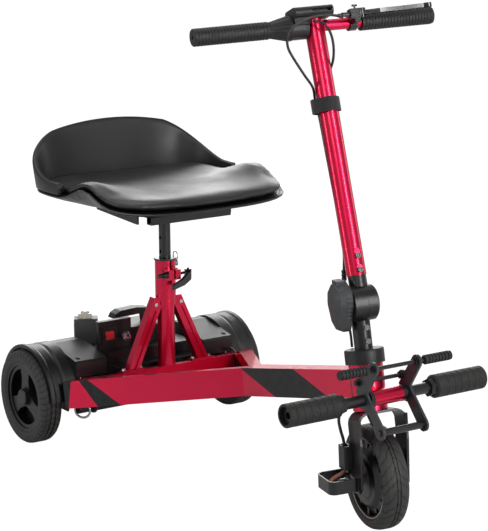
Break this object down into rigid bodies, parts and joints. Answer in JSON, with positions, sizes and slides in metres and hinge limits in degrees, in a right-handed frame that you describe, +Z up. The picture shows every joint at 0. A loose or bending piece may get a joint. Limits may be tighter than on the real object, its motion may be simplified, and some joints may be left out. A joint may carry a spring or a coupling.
{
  "type": "mobility scooter",
  "caption": "Folding three-wheel mobility scooter with hub-motor front wheel, sliding saddle seat with low backrest, folding tiller, foot pegs and lift-off battery.",
  "frame": {"origin": "on the ground under the middle of the whole object, on its centre plane", "axes": "+Z up; the scooter drives towards -Y; +X is the rider's left"},
  "size_m": [0.56, 1.0973, 0.9842],
  "materials": {
    "crimson_paint": "gloss",
    "black_paint": "satin",
    "black_plastic": "satin",
    "gloss_black": "gloss",
    "grey_plastic": "satin",
    "white_plastic": "gloss",
    "red_plastic": "gloss",
    "seat_vinyl": "semi-gloss",
    "tyre_rubber": "matt",
    "grip_rubber": "matt",
    "bright_steel": "satin",
    "cable_sheath": "satin",
    "brown_sheath": "satin"
  },
  "bodies": {
    "chassis": {"rear_axles": "black_paint", "fender_right": "black_plastic", "fender_left": "black_plastic", "wheel_cover_right": "black_plastic", "wheel_cover_left": "black_plastic", "frame_screws": "bright_steel", "spine": "crimson_paint", "frame_arm_right": "crimson_paint", "frame_arm_left": "crimson_paint", "crossbeam": "crimson_paint", "head_tube": "crimson_paint", "mast": "crimson_paint", "mast_struts": "crimson_paint", "tie_ring": "bright_steel", "battery_tray": "black_paint", "battery_dock": "black_plastic", "controller_box": "grey_plastic", "lamp_dome": "white_plastic", "left_cable": "cable_sheath", "mast_clamp": "black_paint", "foot_peg_tube": "black_paint", "foot_peg_sleeves": "grip_rubber", "front_bracket": "black_paint", "bracket_rods": "black_paint", "bracket_grips": "grip_rubber"},
    "rear_wheel_right": {"rear_tyre_right": "tyre_rubber", "rear_wheel_right": "black_plastic", "hub_cap_right": "black_plastic"},
    "rear_wheel_left": {"rear_tyre_left": "tyre_rubber", "rear_wheel_left": "black_plastic", "hub_cap_left": "black_plastic"},
    "battery": {"battery_pack": "black_plastic", "battery_handle": "black_plastic"},
    "power_switch": {"power_switch": "red_plastic"},
    "switch_key": {"switch_key": "bright_steel"},
    "clamp_lever": {"clamp_lever": "black_plastic"},
    "seat_pin": {"seat_pin": "bright_steel"},
    "seat": {"seat_post": "black_paint", "seat_bracket": "black_paint", "seat_shell": "black_plastic", "seat_cushion": "seat_vinyl", "backrest": "seat_vinyl"},
    "steering": {"fork": "black_paint", "headset_cover": "black_plastic", "motor_axle": "bright_steel", "motor_cable": "brown_sheath", "fold_knuckle": "black_paint", "cable_pouch": "black_plastic", "guard_loop": "black_paint"},
    "front_wheel": {"front_tyre": "tyre_rubber", "hub_motor": "black_paint"},
    "fold_lever": {"fold_lever": "grey_plastic"},
    "tiller": {"upper_yoke": "black_paint", "tiller": "crimson_paint", "grips": "grip_rubber", "throttle_pod": "black_plastic", "brake_bracket": "gloss_black", "tiller_cables": "cable_sheath"},
    "throttle": {"throttle": "grip_rubber"},
    "brake_lever": {"brake_lever": "gloss_black"}
  },
  "joints": [
    {"name": "rear_wheel_right_spin", "type": "hinge", "parent": "chassis", "child": "rear_wheel_right", "pos_m": [-0.257, 0.44049, 0.1015], "axis": [1, 0, 0], "continuous": true},
    {"name": "rear_wheel_left_spin", "type": "hinge", "parent": "chassis", "child": "rear_wheel_left", "pos_m": [0.257, 0.44049, 0.1015], "axis": [1, 0, 0], "continuous": true},
    {"name": "steering_turn", "type": "hinge", "parent": "chassis", "child": "steering", "pos_m": [0, -0.42551, 0.3], "axis": [0, 0.1891, 0.982], "range_deg": [-28, 52]},
    {"name": "front_wheel_spin", "type": "hinge", "parent": "steering", "child": "front_wheel", "pos_m": [0.01081, -0.44125, 0.10183], "axis": [0.9781, -0.2042, 0.0393], "continuous": true},
    {"name": "fold_lever_turn", "type": "hinge", "parent": "steering", "child": "fold_lever", "pos_m": [-0.00255, -0.41125, 0.43745], "axis": [0.9781, -0.2042, 0.0393], "range_deg": [0, 90]},
    {"name": "tiller_fold", "type": "hinge", "parent": "steering", "child": "tiller", "pos_m": [-0.00255, -0.41125, 0.43745], "axis": [-0.9781, 0.2042, -0.0393], "range_deg": [0, 45]},
    {"name": "throttle_twist", "type": "hinge", "parent": "tiller", "child": "throttle", "pos_m": [0.01307, -0.23933, 0.94172], "axis": [-0.9781, 0.2042, -0.0393], "range_deg": [0, 35], "stiffness_Nm_per_rad": 0.6, "springref_deg": -5.73},
    {"name": "brake_pull", "type": "hinge", "parent": "tiller", "child": "brake_lever", "pos_m": [0.08347, -0.29396, 0.96662], "axis": [0.0293, 0.3225, 0.9461], "range_deg": [0, 12], "stiffness_Nm_per_rad": 3, "springref_deg": -5.73},
    {"name": "seat_height", "type": "slide", "parent": "chassis", "child": "seat", "axis": [0, 0, 1], "range_m": [-0.06, 0.06]},
    {"name": "clamp_lever_swing", "type": "hinge", "parent": "chassis", "child": "clamp_lever", "pos_m": [0.038, 0.26199, 0.37], "axis": [0, 0, 1], "range_deg": [0, 110]},
    {"name": "seat_pin_pull", "type": "slide", "parent": "chassis", "child": "seat_pin", "axis": [1, 0, 0], "range_m": [0, 0.025]},
    {"name": "battery_lift", "type": "slide", "parent": "chassis", "child": "battery", "axis": [0, 0, 1], "range_m": [0, 0.12]},
    {"name": "power_rocker", "type": "hinge", "parent": "battery", "child": "power_switch", "pos_m": [-0.084, 0.39449, 0.2206], "axis": [1, 0, 0], "range_deg": [-12, 12]},
    {"name": "key_turn", "type": "hinge", "parent": "battery", "child": "switch_key", "pos_m": [-0.05, 0.38549, 0.2166], "axis": [0, 1, 0], "range_deg": [0, 90]}
  ]
}
